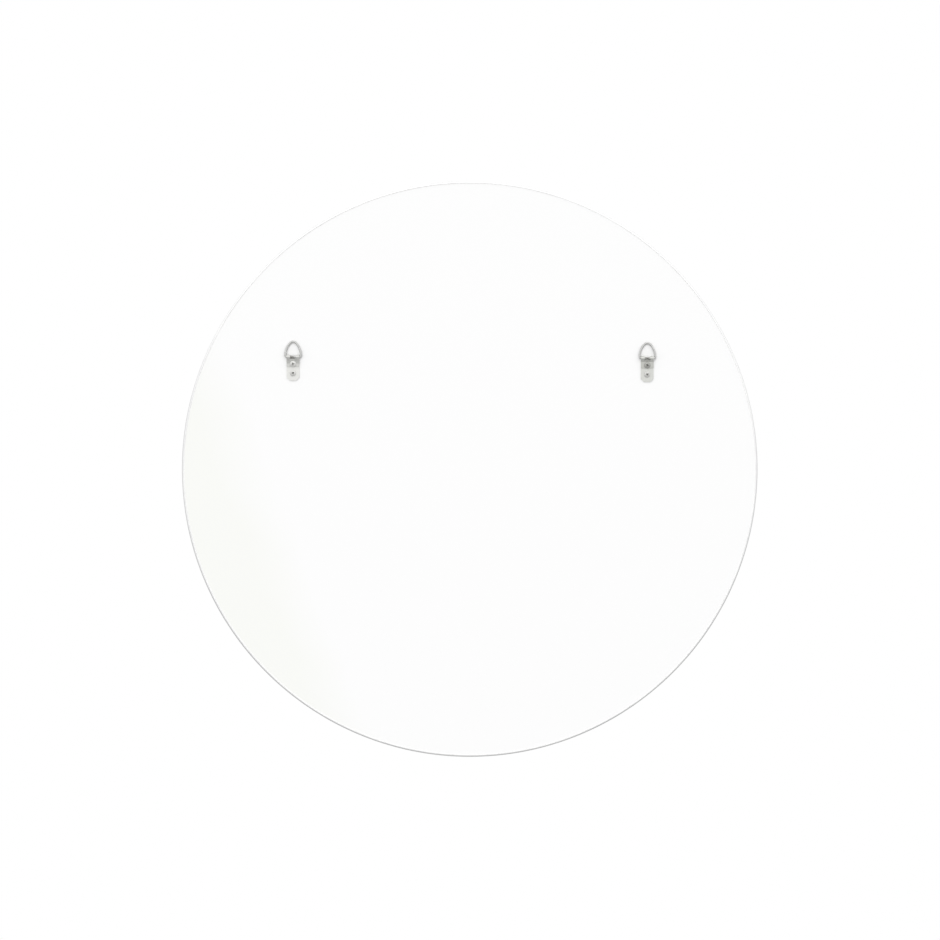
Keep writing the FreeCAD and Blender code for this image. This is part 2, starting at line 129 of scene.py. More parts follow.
# Painted shade with the sheet's duller other face: how much each fold gets, how far below the bar each flap
# gets it in full, and how much of it the flap keeps from there on
FOLD_DULL_AND_SHADE = {"left": 0.3, "right": 0.0}
FLAP_DULL_AND_SHADE_DROP = {"left": 6.6 * MM, "right": 20.0 * MM}
FLAP_DULL_AND_SHADE_END = {"left": 0.5, "right": 1.0}
FLAP_DULL_AND_SHADE_FADE = 2.6 * MM

# Ring of bent wire
WIRE = 2.2 * MM
RING_SIDE_PLAY = 0.05 * MM
RING_CORNER = 1.5 * MM
RING_TOP = 4.4 * MM
RING_RISE = 16.0 * MM
RING_GAP = 0.3 * MM
RING_REST_GAP = 0.15 * MM
WIRE_END_BREAK = 0.2 * MM

# Pan-head screw
SHANK = 3.5 * MM
SCREW_LENGTH = 10.0 * MM
SCREW_POINT = 3.0 * MM
HEAD = 6.6 * MM
HEAD_EDGE = 0.9 * MM
HEAD_HEIGHT = 1.9 * MM
HEAD_ROUND = 0.2 * MM
NECK = 1.0 * MM
SCREW_TIP = 0.1 * MM
THREAD_PITCH = 1.3 * MM
THREAD_DEPTH = 0.5 * MM
THREAD_HALF = 0.32 * MM
# Length of screw that its thread leaves plain, depth of the ridge's root in the core, and the least
# radius of root and crest on the point
THREAD_PLAIN = 1.2 * MM
THREAD_ROOT = 0.1 * MM
ROOT_LEAST = 0.01 * MM
CREST_LEAST = 0.03 * MM
RECESS_DEPTH = 1.5 * MM
RECESS_TOP = (3.5 * MM, 0.8 * MM)
RECESS_FOOT = (1.5 * MM, 0.55 * MM)
# Depth below the dome over which the recess's painted shade comes in full
RECESS_SHADE = 0.6 * MM
# Angle at which the upper and lower screw's cross stopped
SCREW_TURNS = {"left": (12, 38), "right": (65, 24)}

# Name of the mesh attribute that puts painted shade on a piece's metal in places, on the straps together with
# the sheet's duller other face
SHADE = "shade"
# Painted shade along a stretch of the bar inside the fold's window, from and to
WINDOW_SHADE_SPAN = {"left": (-0.2 * MM, 2.9 * MM), "right": (-1.4 * MM, 1.9 * MM)}
# How far that painted shade fades out, and what the wire's colour keeps in it
WINDOW_SHADE_FADE = 0.9 * MM
WINDOW_SHADE_KEEPS = (0.60, 0.59, 0.57)
# What the screws keep of their colour where their painted shade is full
SCREW_SHADE_KEEPS = (0.45, 0.45, 0.43)
# Painted shade over the upper and lower screw of each side
SCREW_PAINTED_SHADE = {"left": (0.0, 0.0), "right": (0.7, 0.12)}

# Board's painted light, warmer and a trace darker, towards its lower left edge: the direction it lies in,
# where it starts and is full, and how far that wanders
BOARD_WARM_SIDE = (0.93, 0.0, -0.36)
BOARD_WARM_FROM = 0.222
BOARD_WARM_FULL = 0.275
BOARD_WANDER = 0.05
BOARD_WHITE = (0.86, 0.86, 0.86)
BOARD_WARM = (0.832, 0.838, 0.812)

# Stage: the floor's half size, its distance under the mirror, and where it fades out, in metres
FLOOR_SIZE = 3.0
FLOOR_DROP = 0.6
FLOOR_FADE = (0.9, 1.9)
# World: (share of the height, brightness) from nadir to zenith, how strong it is on the glass's side
# and on the back's, and the values of the direction's Y between which that changes
SKY = ((0.0, 0.38), (0.27, 0.40), (0.50, 0.56), (0.74, 0.82), (1.0, 0.90))
SKY_STRENGTH = (1.2, 1.85)
SKY_TURNS = (0.4, 1.0)
# Key light: where it lies, its strength, and the angle it fills in degrees
KEY_DIRECTION = (0.3, 1.0, 0.4)
KEY_STRENGTH = 0.86
KEY_ANGLE = 30


# ---------------------------------------------------------------- meshes

def mesh_object(name, vertices, faces):
    mesh = bpy.data.meshes.new(name)
    mesh.from_pydata([tuple(v) for v in vertices], [], faces)
    mesh.validate()
    return link_mesh(name, mesh)


def link_mesh(name, mesh):
    piece = bpy.data.objects.new(name, mesh)
    bpy.context.scene.collection.objects.link(piece)
    return piece


def tidy_normals(piece, sharp=50):
    """Outward faces, smooth across small angles, with flats that look flat beside rounded edges."""
    work = bmesh.new()
    work.from_mesh(piece.data)
    bmesh.ops.remove_doubles(work, verts=work.verts, dist=WELD)
    bmesh.ops.recalc_face_normals(work, faces=work.faces)
    work.to_mesh(piece.data)
    work.free()
    piece.data.shade_smooth()
    piece.data.set_sharp_from_angle(angle=math.radians(sharp))
    weighted = piece.modifiers.new("flat_faces_look_flat", "WEIGHTED_NORMAL")
    weighted.keep_sharp = True
    return piece


def arc(centre, radius, first, last, steps):
    """Points of an arc about a centre, from the first angle to the last, in degrees."""
    angles = [math.radians(first + (last - first) * i / steps) for i in range(steps + 1)]
    return [(centre[0] + radius * math.cos(a), centre[1] + radius * math.sin(a)) for a in angles]


def lathe(name, section, steps=ROUND_STEPS, shift=None):
    """Closed section of (radius, y) points turned about the Y axis. A radius of 0 makes a pole."""
    vertices = []
    rings = []
    for radius, y in section:
        if radius < WELD:
            rings.append([len(vertices)])
            vertices.append(Vector((0, y, 0)))
            continue
        rings.append(list(range(len(vertices), len(vertices) + steps)))
        for i in range(steps):
            turn = 2 * math.pi * i / steps
            r, depth = (radius, y) if shift is None else shift(radius, y, turn)
            vertices.append(Vector((r * math.cos(turn), depth, r * math.sin(turn))))
    faces = []
    for here, there in zip(rings, rings[1:] + rings[:1]):
        if len(here) == 1 and len(there) == 1:
            continue
        for i in range(steps):
            j = (i + 1) % steps
            quad = [here[i % len(here)], here[j % len(here)], there[j % len(there)], there[i % len(there)]]
            faces.append(tuple(dict.fromkeys(quad)))
    return tidy_normals(mesh_object(name, vertices, faces))


def rounded_corner(corner, radius, first, steps=6):
    """Quarter round that replaces a square corner of a section; first is its starting angle."""
    middle = math.radians(first + 45)
    reach = radius * math.sqrt(2)
    centre = (corner[0] - reach * math.cos(middle), corner[1] - reach * math.sin(middle))
    return arc(centre, radius, first, first + 90, steps)


def sweep(name, points, across, radius, sides=28):
    """Round wire along a flat path. across is the unit normal of the path's plane."""
    vertices = []
    for i, point in enumerate(points):
        ahead = points[min(i + 1, len(points) - 1)] - points[max(i - 1, 0)]
        outward = ahead.normalized().cross(across)
        inset = WIRE_END_BREAK if i in (0, len(points) - 1) else 0
        for k in range(sides):
            turn = 2 * math.pi * k / sides
            vertices.append(point + (outward * math.cos(turn) + across * math.sin(turn)) * (radius - inset))
    faces = []
    for i in range(len(points) - 1):
        for k in range(sides):
            m = (k + 1) % sides
            faces.append((i * sides + k, i * sides + m, (i + 1) * sides + m, (i + 1) * sides + k))
    last = (len(points) - 1) * sides
    faces.append(tuple(range(sides)))
    faces.append(tuple(range(last, last + sides)))
    return tidy_normals(mesh_object(name, vertices, faces), 40)


def bake_modifiers(piece):
    """Replaces the piece's mesh with the result of its modifiers."""
    bpy.context.view_layer.update()
    shaped = piece.evaluated_get(bpy.context.evaluated_depsgraph_get())
    mesh = bpy.data.meshes.new_from_object(shaped)
    piece.modifiers.clear()
    piece.data = mesh
    return piece


def carve(piece, cutter):
    """Cuts the cutter's solid out of the piece and removes the cutter."""
    cut = piece.modifiers.new("cut", "BOOLEAN")
    cut.operation = "DIFFERENCE"
    cut.solver = "EXACT"
    cut.object = cutter
    bake_modifiers(piece)
    bpy.data.objects.remove(cutter)
    return piece


def wedge(name, top, foot, depth, y_top):
    """Blade that narrows from (length, width) at y_top to its foot, depth further in."""
    corners = [(-1, -1), (1, -1), (1, 1), (-1, 1)]
    levels = ((y_top, top), (y_top - depth, foot))
    vertices = [Vector((i * size[0] / 2, y, k * size[1] / 2)) for y, size in levels for i, k in corners]
    sides = [(i, (i + 1) % 4, (i + 1) % 4 + 4, i + 4) for i in range(4)]
    piece = mesh_object(name, vertices, [(3, 2, 1, 0), (4, 5, 6, 7)] + sides)
    return tidy_normals(piece)


def turned(piece, matrix):
    piece.data.transform(matrix)
    return piece


# ---------------------------------------------------------------- materials

def material(name, colour, roughness, metallic=0.0):
    """Principled material, its shader and the object coordinates, in metres."""
    made = bpy.data.materials.new(name)
    made.use_nodes = True
    shader = made.node_tree.nodes["Principled BSDF"]
    shader.inputs["Base Color"].default_value = (*colour, 1)
    shader.inputs["Roughness"].default_value = roughness
    shader.inputs["Metallic"].default_value = metallic
    place = made.node_tree.nodes.new("ShaderNodeTexCoord").outputs["Object"]
    return made, shader, place


def stretched(tree, place, scale):
    """The coordinates scaled by a different amount along each axis."""
    node = tree.nodes.new("ShaderNodeMapping")
    node.inputs["Scale"].default_value = scale
    tree.links.new(place, node.inputs["Vector"])
    return node.outputs["Vector"]


def round_coordinates(tree, place, scale):
    """(angle, radius, y) about the Y axis, each scaled: what is turned or rolled is marked along these."""
    split = tree.nodes.new("ShaderNodeSeparateXYZ")
    tree.links.new(place, split.inputs[0])
    angle = tree.nodes.new("ShaderNodeMath")
    angle.operation = "ARCTAN2"
    tree.links.new(split.outputs["Z"], angle.inputs[0])
    tree.links.new(split.outputs["X"], angle.inputs[1])
    flat = tree.nodes.new("ShaderNodeCombineXYZ")
    tree.links.new(split.outputs["X"], flat.inputs["X"])
    tree.links.new(split.outputs["Z"], flat.inputs["Z"])
    radius = tree.nodes.new("ShaderNodeVectorMath")
    radius.operation = "LENGTH"
    tree.links.new(flat.outputs[0], radius.inputs[0])
    joined = tree.nodes.new("ShaderNodeCombineXYZ")
    tree.links.new(angle.outputs[0], joined.inputs["X"])
    tree.links.new(radius.outputs["Value"], joined.inputs["Y"])
    tree.links.new(split.outputs["Y"], joined.inputs["Z"])
    return stretched(tree, joined.outputs[0], scale)


def grain(tree, vector, scale, detail=4.0, rough=0.55):
    """Noise over the coordinates, with about scale blotches per unit of them."""
    node = tree.nodes.new("ShaderNodeTexNoise")
    node.inputs["Scale"].default_value = scale
    node.inputs["Detail"].default_value = detail
    node.inputs["Roughness"].default_value = rough
    tree.links.new(vector, node.inputs["Vector"])
    return node.outputs["Fac"]


def spread(tree, value, low, high, first=0.3, last=0.7):
    """Maps first to last, by default a grain's usual range, onto low to high."""
    node = tree.nodes.new("ShaderNodeMapRange")
    node.inputs["From Min"].default_value = first
    node.inputs["From Max"].default_value = last
    node.inputs["To Min"].default_value = low
    node.inputs["To Max"].default_value = high
    tree.links.new(value, node.inputs["Value"])
    return node.outputs["Result"]


def tint(tree, value, first, last, low=0.35, high=0.65):
    """Colour that runs from first to last as the value runs from low to high."""
    node = tree.nodes.new("ShaderNodeValToRGB")
    node.color_ramp.elements[0].position = low
    node.color_ramp.elements[1].position = high
    node.color_ramp.elements[0].color = (*first, 1)
    node.color_ramp.elements[1].color = (*last, 1)
    tree.links.new(value, node.inputs["Fac"])
    return node.outputs["Color"]


def darkened(tree, colour, keeps):
    """The colour, multiplied by what it keeps where the mesh's painted shade says 1."""
    shade = tree.nodes.new("ShaderNodeAttribute")
    shade.attribute_name = SHADE
    mix = tree.nodes.new("ShaderNodeMix")
    mix.data_type = "RGBA"
    mix.blend_type = "MULTIPLY"
    mix.inputs["B"].default_value = (*keeps, 1)
    tree.links.new(shade.outputs["Fac"], mix.inputs["Factor"])
    tree.links.new(colour, mix.inputs["A"])
    return mix.outputs["Result"]


def shade_points(piece, amount):
    """Stores a shade from 0 to 1 at every vertex, worked out from its place."""
    layer = piece.data.attributes.new(SHADE, "FLOAT", "POINT")
    for vertex, value in zip(piece.data.vertices, layer.data):
        value.value = min(1.0, max(0.0, amount(vertex.co)))


def relief(tree, shader, *bumps):
    """Stacks bumps, each a dict of its height value, its distance in metres and its strength."""
    normal = None
    for bump in bumps:
        node = tree.nodes.new("ShaderNodeBump")
        node.inputs["Distance"].default_value = bump["distance"]
        node.inputs["Strength"].default_value = bump["strength"]
        tree.links.new(bump["value"], node.inputs["Height"])
        if normal is not None:
            tree.links.new(normal, node.inputs["Normal"])
        normal = node.outputs["Normal"]
    tree.links.new(normal, shader.inputs["Normal"])


def satin_rim():
    """Rolled aluminium, finely lined along the band."""
    made, shader, place = material("satin_rim", colour=(0.93, 0.93, 0.93), roughness=0.36, metallic=1.0)
    tree = made.node_tree
    lines = grain(tree, round_coordinates(tree, place, scale=(6, 9000, 9000)), scale=1.0, detail=3.0)
    patches = grain(tree, place, scale=18.0, detail=5.0)
    metal = tint(tree, patches, first=(0.91, 0.91, 0.915), last=(0.96, 0.96, 0.955))
    tree.links.new(metal, shader.inputs["Base Color"])
    tree.links.new(spread(tree, lines, low=0.29, high=0.43), shader.inputs["Roughness"])
    relief(tree, shader, dict(value=lines, distance=0.004 * MM, strength=0.5))
    return made


def plated_sheet(side, dull, bright, keeps):
    """Nickel-plated pressed steel: rolling lines up the sheet, tumbling nicks, uneven sheen, and painted
    shade with the sheet's duller other face on the fold and flap.
    """
    made, shader, place = material(f"plated_sheet_{side}", colour=bright, roughness=0.48, metallic=1.0)
    tree = made.node_tree
    rolling = grain(tree, stretched(tree, place, scale=(9000, 2500, 350)), scale=1.0, detail=3.0)
    nicks = grain(tree, place, scale=2600.0, detail=2.0, rough=0.7)
    clouds = grain(tree, place, scale=420.0)
    plating = tint(tree, clouds, first=dull, last=bright)
    tree.links.new(darkened(tree, plating, keeps), shader.inputs["Base Color"])
    tree.links.new(spread(tree, clouds, low=0.44, high=0.56), shader.inputs["Roughness"])
    relief(
        tree,
        shader,
        dict(value=rolling, distance=0.006 * MM, strength=0.5),
        dict(value=nicks, distance=0.015 * MM, strength=0.3),
        dict(value=clouds, distance=0.03 * MM, strength=0.4),
    )
    return made


def plated_wire():
    """Drawn and plated wire: draw lines, faint clouding, and painted shade along the bar inside the fold's
    window.
    """
    made, shader, place = material("plated_wire", colour=(0.62, 0.62, 0.61), roughness=0.42, metallic=1.0)
    tree = made.node_tree
    draw = grain(tree, stretched(tree, place, scale=(4000, 4000, 500)), scale=1.0, detail=3.0)
    clouds = grain(tree, place, scale=500.0)
    plating = tint(tree, clouds, first=(0.57, 0.57, 0.56), last=(0.67, 0.67, 0.66))
    tree.links.new(darkened(tree, plating, WINDOW_SHADE_KEEPS), shader.inputs["Base Color"])
    tree.links.new(spread(tree, clouds, low=0.36, high=0.48), shader.inputs["Roughness"])
    relief(tree, shader, dict(value=draw, distance=0.01 * MM, strength=0.4))
    return made


def plated_screw():
    """Zinc-plated screw, clouded and nicked, with painted shade in its recess and over the right hanger's
    screws.
    """
    made, shader, place = material("plated_screw", colour=(0.78, 0.78, 0.76), roughness=0.56, metallic=1.0)
    tree = made.node_tree
    clouds = grain(tree, place, scale=900.0)
    nicks = grain(tree, place, scale=4200.0, detail=2.0, rough=0.7)
    plating = tint(tree, clouds, first=(0.75, 0.75, 0.73), last=(0.83, 0.83, 0.81))
    tree.links.new(darkened(tree, plating, SCREW_SHADE_KEEPS), shader.inputs["Base Color"])
    tree.links.new(spread(tree, clouds, low=0.50, high=0.64), shader.inputs["Roughness"])
    relief(tree, shader, dict(value=nicks, distance=0.015 * MM, strength=0.4))
    return made


def white_board():
    """White melamine facing: faint pearled texture, with painted light, warmer and a trace darker, towards
    its lower left edge.
    """
    made, shader, place = material("white_board", colour=BOARD_WHITE, roughness=0.42)
    tree = made.node_tree
    shader.inputs["Specular IOR Level"].default_value = 0.35
    # Painted warmer, slightly darker light towards the lower left edge, its border wandering with a broad
    # noise
    across = stretched(tree, place, scale=BOARD_WARM_SIDE)
    along = tree.nodes.new("ShaderNodeVectorMath")
    along.operation = "DOT_PRODUCT"
    along.inputs[1].default_value = (1, 1, 1)
    tree.links.new(across, along.inputs[0])
    broad = grain(tree, place, scale=9.0, detail=3.0)
    wandering = tree.nodes.new("ShaderNodeMath")
    wandering.operation = "MULTIPLY_ADD"
    wandering.inputs[1].default_value = BOARD_WANDER
    tree.links.new(broad, wandering.inputs[0])
    tree.links.new(along.outputs["Value"], wandering.inputs[2])
    warm = spread(tree, wandering.outputs[0], low=0.0, high=1.0, first=BOARD_WARM_FROM, last=BOARD_WARM_FULL)
    facing = tint(tree, warm, first=BOARD_WHITE, last=BOARD_WARM, low=0.0, high=1.0)
    tree.links.new(facing, shader.inputs["Base Color"])
    pearl = grain(tree, place, scale=1400.0, detail=3.0)
    fine = grain(tree, place, scale=5200.0, detail=2.0)
    tree.links.new(spread(tree, pearl, low=0.38, high=0.47), shader.inputs["Roughness"])
    relief(
        tree,
        shader,
        dict(value=pearl, distance=0.012 * MM, strength=0.35),
        dict(value=fine, distance=0.004 * MM, strength=0.3),
    )
    return made


def white_sealant():
    """Acrylic sealant, wiped along the joint."""
    made, shader, place = material("white_sealant", colour=(0.87, 0.87, 0.865), roughness=0.5)
    tree = made.node_tree
    wiped = grain(tree, round_coordinates(tree, place, scale=(160, 3000, 3000)), scale=1.0, detail=3.0)
    broad = grain(tree, place, scale=25.0, detail=3.0)
    white = tint(tree, broad, first=(0.85, 0.85, 0.845), last=(0.89, 0.89, 0.885))
    tree.links.new(white, shader.inputs["Base Color"])
    tree.links.new(spread(tree, wiped, low=0.42, high=0.58), shader.inputs["Roughness"])
    relief(tree, shader, dict(value=wiped, distance=0.03 * MM, strength=0.5))
    return made


def clear_glass():
    """Float glass: a trace of green, with its faint waves."""
    made, shader, place = material("clear_glass", colour=(0.965, 0.99, 0.98), roughness=0.0)
    tree = made.node_tree
    shader.inputs["Transmission Weight"].default_value = 1.0
    shader.inputs["IOR"].default_value = 1.52
    waves = grain(tree, place, scale=2.0, detail=1.0)
    glass = tint(tree, waves, first=(0.962, 0.99, 0.978), last=(0.968, 0.99, 0.982))
    tree.links.new(glass, shader.inputs["Base Color"])
    relief(tree, shader, dict(value=waves, distance=0.01 * MM, strength=0.15))
    return made


def silver_coat():
    """Silvering with a trace of haze."""
    made, shader, place = material("silver_coat", colour=(0.93, 0.94, 0.93), roughness=0.015, metallic=1.0)
    tree = made.node_tree
    haze = grain(tree, place, scale=30.0)
    tree.links.new(spread(tree, haze, low=0.008, high=0.022), shader.inputs["Roughness"])
    silver = tint(tree, haze, first=(0.925, 0.935, 0.925), last=(0.94, 0.945, 0.94))
    tree.links.new(silver, shader.inputs["Base Color"])
    return made


def foam_tape():
    """Closed-cell foam with a fine cell texture."""
    made, shader, place = material("foam_tape", colour=(0.8, 0.8, 0.78), roughness=0.8)
    tree = made.node_tree
    cells = tree.nodes.new("ShaderNodeTexVoronoi")
    cells.inputs["Scale"].default_value = 2600.0
    tree.links.new(place, cells.inputs["Vector"])
    walls = cells.outputs["Distance"]
    foam = tint(tree, walls, first=(0.70, 0.70, 0.68), last=(0.83, 0.83, 0.81), low=0.1, high=0.6)
    tree.links.new(foam, shader.inputs["Base Color"])
    relief(tree, shader, dict(value=walls, distance=0.08 * MM, strength=0.6))
    return made


def adhesive():
    """Off-white mirror adhesive, pulled in strings."""
    made, shader, place = material("mirror_adhesive", colour=(0.72, 0.69, 0.62), roughness=0.38)
    tree = made.node_tree
    pulled = grain(tree, place, scale=260.0)
    paste = tint(tree, pulled, first=(0.66, 0.63, 0.56), last=(0.78, 0.75, 0.68))
    tree.links.new(paste, shader.inputs["Base Color"])
    tree.links.new(spread(tree, pulled, low=0.3, high=0.46), shader.inputs["Roughness"])
    relief(tree, shader, dict(value=pulled, distance=0.2 * MM, strength=0.5))
    return made


def finish_piece(piece, body, made, node):
    """Gives a piece its material and its body, and hides the CAD node it stands for."""
    piece.data.materials.clear()
    piece.data.materials.append(made)
    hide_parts(node)
    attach(piece, body)


# ---------------------------------------------------------------- rim, board and glass

def build_rim():
    """L-shaped band: its wall, rounded at the back's outer edge, and the lip that holds the glass."""
    low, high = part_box("frame_rim")
    outer = (high.x - low.x) / 2
    inner = outer - RIM_WALL
    lip = inner - LIP_WIDTH
    back = high.y
    front = low.y
    section = rounded_corner((outer, back), RIM_BACK_ROUND, first=0, steps=10)
    section += rounded_corner((inner, back), EDGE_BREAK, first=90, steps=3)
    section += [(inner, front + LIP_THICKNESS)]
    section += rounded_corner((lip, front + LIP_THICKNESS), EDGE_BREAK, first=90, steps=3)
    section += rounded_corner((lip, front), LIP_ROUND, first=180)
    section += rounded_corner((outer, front), RIM_FRONT_ROUND, first=270)
    finish_piece(lathe("rim_band", section), "mirror", satin_rim(), "frame_rim")


def screw_places(side):
    """(x, z) of the side's upper and lower screw, from the ring's hinge."""
    hinge = HINGES[side]
    return [(hinge.x, hinge.z - drop) for drop in (UPPER_DROP, LOWER_DROP)]


def build_board():
    """White-faced disc with a small arris and the screws' pilot holes."""
    low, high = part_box("backing_board")
    radius = (high.x - low.x) / 2
    section = [(0, high.y)]
    section += arc((radius - BOARD_ARRIS, high.y - BOARD_ARRIS), BOARD_ARRIS, 90, 0, 4)
    section += [(radius, low.y), (0, low.y)]
    board = lathe("white_back", section)
    pilot = [
        (0, PILOT_CLEAR),
        (SHANK / 2, PILOT_CLEAR),
        (SHANK / 2, -SCREW_LENGTH),
        (0, -SCREW_LENGTH),
    ]
    for side in SIDES:
        for x, z in screw_places(side):
            pin = bake_modifiers(lathe("pilot", pilot, steps=32))
            carve(board, turned(pin, Matrix.Translation((x, high.y, z))))
    tidy_normals(board)
    finish_piece(board, "mirror", white_board(), "backing_board")


def build_sealant():
    """Wiped bead between board and rim, a little hollow across, uneven along."""
    low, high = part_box("edge_sealant")
    outer = (high.x - low.x) / 2
    board_low, board_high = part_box("backing_board")
    inner = (board_high.x - board_low.x) / 2
    lap = inner - SEALANT_LAP
    steps = 6
    section = []
    for i in range(steps + 1):
        share = i / steps
        section.append((lap + (outer - lap) * share, high.y + SEALANT_EDGE + SEALANT_RISE * share**2))
    section += [(outer, low.y), (inner, low.y), (inner, high.y - BOARD_ARRIS), (lap, high.y - SEALANT_FOOT)]

    def wiped(radius, y, turn):
        if y < high.y:
            return radius, y
        along = (math.cos(turn) * RIPPLE_ALONG, math.sin(turn) * RIPPLE_ALONG)
        return radius, y + SEALANT_RIPPLE * noise.noise(Vector((*along, radius * RIPPLE_ACROSS)))
    bead = lathe("sealant_bead", section, shift=wiped)
    finish_piece(bead, "mirror", white_sealant(), "edge_sealant")


def build_glass():
    """Clear pane with ground edges, and the silver behind it."""
    low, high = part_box("mirror_glass")
    radius = (high.x - low.x) / 2
    back = high.y - SILVER_THICKNESS - SILVER_GAP
    pane_section = [
        (0, back),
        (radius - GLASS_ARRIS, back),
        (radius, back - GLASS_ARRIS),
        (radius, low.y + GLASS_ARRIS),
        (radius - GLASS_ARRIS, low.y),
        (0, low.y),
    ]
    pane = lathe("glass_pane", pane_section)
    silver_section = [
        (0, high.y),
        (radius - GLASS_ARRIS, high.y),
        (radius - GLASS_ARRIS, high.y - SILVER_THICKNESS),
        (0, high.y - SILVER_THICKNESS),
    ]
    silver = lathe("silver_back", silver_section)
    finish_piece(pane, "mirror", clear_glass(), "mirror_glass")
    finish_piece(silver, "mirror", silver_coat(), "mirror_glass")


def build_adhesive():
    """Dots of adhesive squeezed between glass and board, each with its own wavy edge."""
    low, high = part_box("adhesive_dots")
    random.seed(7)
    reach_x = (high.x - low.x) / 2 - DOT_RADIUS
    reach_z = (high.z - low.z) / 2 - DOT_RADIUS
    vertices = []
    faces = []
    steps = 72
    for column, row in [(column, row) for column in (-1, 0, 1) for row in (-1, 1)]:
        x, z = column * reach_x, row * reach_z
        seed = Vector((random.uniform(0, 50), random.uniform(0, 50), 0))
        start = len(vertices)
        for level, share in DOT_LEVELS:
            for i in range(steps):
                turn = 2 * math.pi * i / steps
                wave = noise.noise(seed + Vector((math.cos(turn), math.sin(turn), 0)) * DOT_WAVINESS)
                reach = DOT_RADIUS * share * (DOT_KEEPS + DOT_WAVE * wave)
                depth = low.y + (high.y - low.y) * level
                vertices.append((x + reach * math.cos(turn), depth, z + reach * math.sin(turn)))
        last = start + (len(DOT_LEVELS) - 1) * steps
        for ring in range(start, last, steps):
            for i in range(steps):
                a = ring + i
                b = ring + (i + 1) % steps
                faces.append((a, b, b + steps, a + steps))
        faces.append(tuple(range(start, start + steps)))
        faces.append(tuple(range(last, last + steps)))
    dots = tidy_normals(mesh_object("squeezed_adhesive", vertices, faces))
    finish_piece(dots, "mirror", adhesive(), "adhesive_dots")


# ---------------------------------------------------------------- hangers

def strap_path(drop, bar_height):
    """Turns a distance along the sheet's middle line into (depth off the board, height, direction)."""
    plate = SHEET / 2
    flap = 1.5 * SHEET + FLAP_GAP
    fold = bar_height - plate
    across = flap + CREASE_RADIUS - bar_height
    both = fold + CREASE_RADIUS
    ramp = math.sqrt(across**2 + FLAP_SEAT_DROP**2 - both**2)
    slope = -(math.atan2(-FLAP_SEAT_DROP, across) + math.atan2(ramp, both))
    fold_length = fold * (math.pi + slope)
    crease_length = CREASE_RADIUS * slope
    marks = {
        "bar": drop,
        "fold_end": drop + fold_length,
        "ramp_end": drop + fold_length + ramp,
        "seat": drop + fold_length + ramp + crease_length,
        "end": drop + fold_length + ramp + crease_length + FLAP_DROP - FLAP_SEAT_DROP,
        "window_end": drop + fold_length + (WINDOW_DROP - fold * math.sin(slope)) / math.cos(slope),
    }

    def at(s):
        """The middle line at distance s: depth off the board, height over the bar, direction."""
        if s <= marks["bar"]:
            return plate, s - drop, (0.0, 1.0)
        if s <= marks["fold_end"]:
            turn = math.pi - (s - marks["bar"]) / fold
            way = (math.sin(turn), -math.cos(turn))
            return bar_height - fold * way[1], fold * way[0], way
        leave = (bar_height + fold * math.cos(slope), -fold * math.sin(slope))
        if s <= marks["ramp_end"]:
            gone = s - marks["fold_end"]
            way = (-math.sin(slope), -math.cos(slope))
            return leave[0] + gone * way[0], leave[1] + gone * way[1], way
        if s <= marks["seat"]:
            turn = math.pi - slope + (s - marks["ramp_end"]) / CREASE_RADIUS
            way = (-math.sin(turn), math.cos(turn))
            centre = (flap + CREASE_RADIUS, -FLAP_SEAT_DROP)
            return centre[0] + CREASE_RADIUS * way[1], centre[1] - CREASE_RADIUS * way[0], way
        return flap, -FLAP_SEAT_DROP - (s - marks["seat"]), (0.0, -1.0)
    return marks, at


def blank_outline(half, length):
    """Edge of the flat strap: slanted cuts at its plain end, rounded corners at the flap's end."""
    cut = STRAP_END_CUT
    round_x = half - FLAP_END_ROUND
    round_s = length - FLAP_END_ROUND
    points = [(cut - half, 0), (half - cut, 0), (half, cut)]
    points += arc((round_x, round_s), FLAP_END_ROUND, 0, 90, 8)
    points += arc((-round_x, round_s), FLAP_END_ROUND, 90, 180, 8)
    return points + [(-half, cut)]


def window_outline(low, high):
    """Edge of the window that the fold is bent across, its corners a little round."""
    x = WINDOW_WIDTH / 2 - WINDOW_ROUND
    corners = ((x, low + WINDOW_ROUND, -90), (x, high - WINDOW_ROUND, 0))
    corners += ((-x, high - WINDOW_ROUND, 90), (-x, low + WINDOW_ROUND, 180))
    points = []
    for middle_x, middle_s, first in corners:
        points += arc((middle_x, middle_s), WINDOW_ROUND, first, first + 90, 6)
    return points


def flat_blank(name, outlines, thickness):
    """Flat sheet with holes: the first outline is the edge, the others are holes."""
    work = bmesh.new()
    edges = []
    for outline in outlines:
        loop = [work.verts.new((x, s, 0)) for x, s in outline]
        edges += [work.edges.new((a, b)) for a, b in zip(loop, loop[1:] + loop[:1])]
    bmesh.ops.triangle_fill(work, edges=edges, use_beauty=True, use_dissolve=False)
    filled = bmesh.ops.extrude_face_region(work, geom=work.faces[:])
    raised = [item for item in filled["geom"] if isinstance(item, bmesh.types.BMVert)]
    bmesh.ops.translate(work, verts=raised, vec=(0, 0, thickness))
    bmesh.ops.translate(work, verts=work.verts, vec=(0, 0, -thickness / 2))
    bmesh.ops.recalc_face_normals(work, faces=work.faces)
    mesh = bpy.data.meshes.new(name)
    work.to_mesh(mesh)
    work.free()
    piece = link_mesh(name, mesh)
    rounding = piece.modifiers.new("edge", "BEVEL")
    rounding.width = SHEET_EDGE
    rounding.segments = 3
    rounding.limit_method = "ANGLE"
    rounding.angle_limit = math.radians(60)
    return bake_modifiers(piece)


def cut_across(piece, places):
    """Adds an edge across the sheet at each place, so that it can bend there."""
    work = bmesh.new()
    work.from_mesh(piece.data)
    for s in places:
        everything = work.verts[:] + work.edges[:] + work.faces[:]
        bmesh.ops.bisect_plane(work, geom=everything, plane_co=(0, s, 0), plane_no=(0, 1, 0), dist=WELD)
    work.to_mesh(piece.data)
    work.free()


